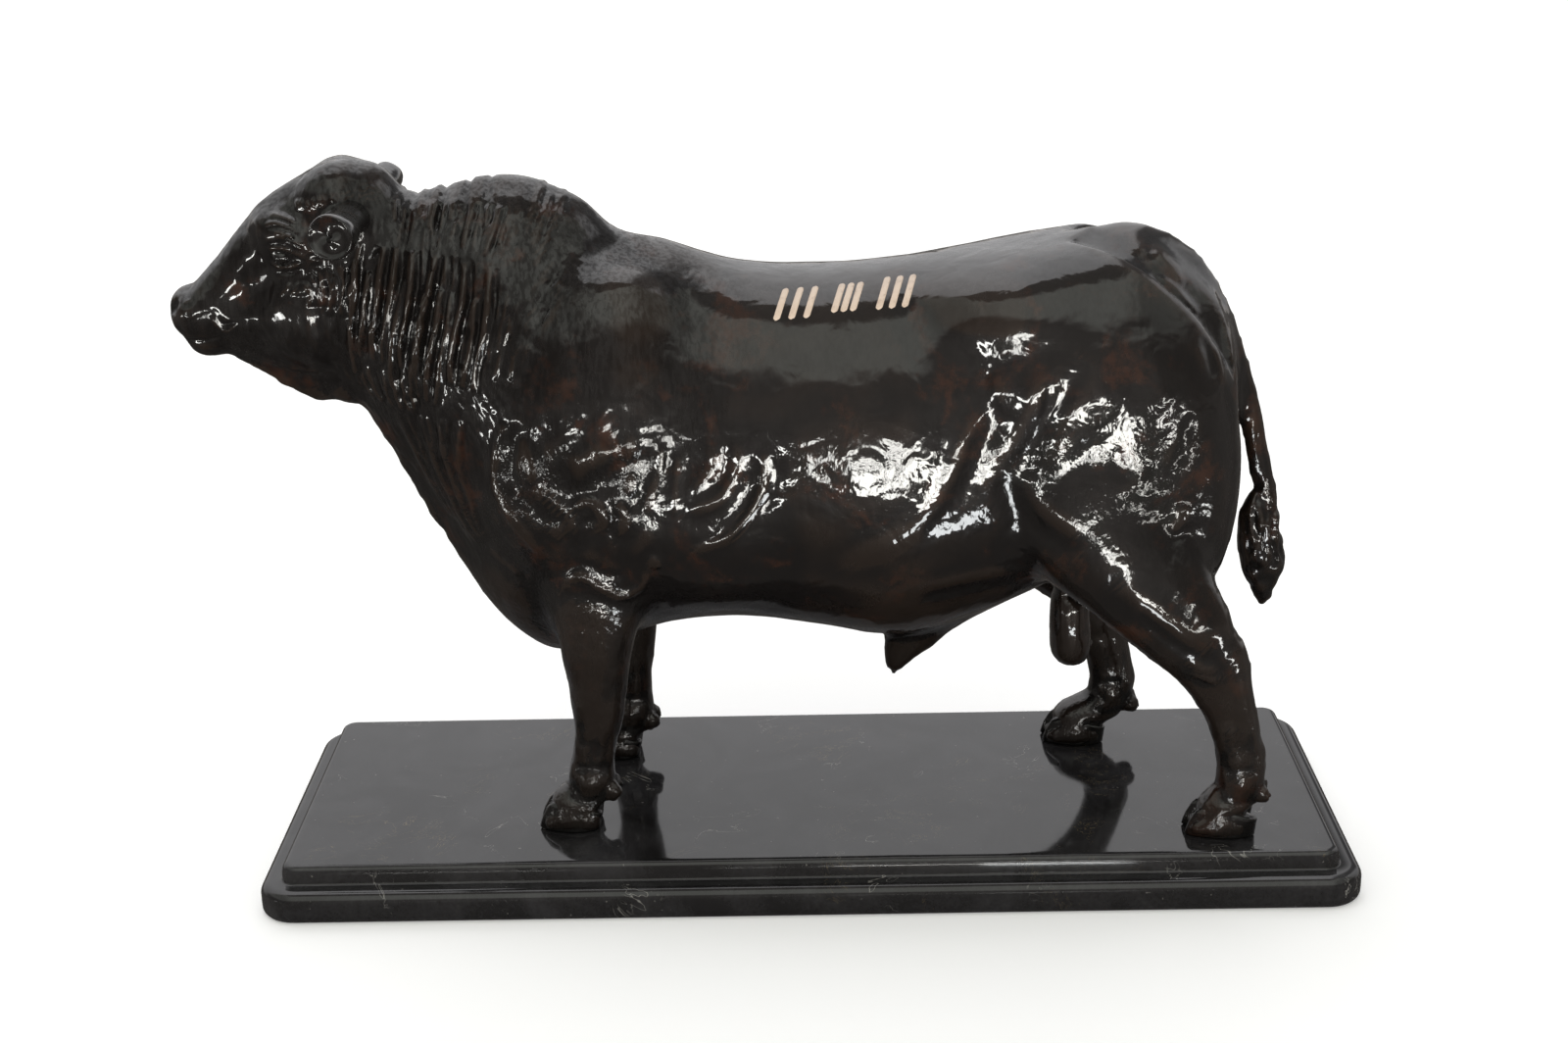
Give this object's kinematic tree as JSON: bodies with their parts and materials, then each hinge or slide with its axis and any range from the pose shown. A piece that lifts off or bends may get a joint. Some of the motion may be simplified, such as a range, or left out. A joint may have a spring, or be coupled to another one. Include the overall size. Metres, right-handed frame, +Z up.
{
  "type": "bull sculpture",
  "caption": "Standing polled bull with a small hump and folded neck, cast in dark bronze, on a rectangular marble plinth with a two-tier moulded edge.",
  "frame": {"origin": "centre of the plinth's underside", "axes": "+Z up, the bull faces -X, its left flank is towards -Y"},
  "size_m": [0.639, 0.22, 0.3956],
  "materials": {
    "bronze": "dark brown-black patina under a glossy clear lacquer",
    "marble": "polished dark grey marble with sparse pale veins"
  },
  "bodies": {
    "root": {"bronze_bull": "bronze", "marble_plinth": "marble"}
  },
  "joints": []
}
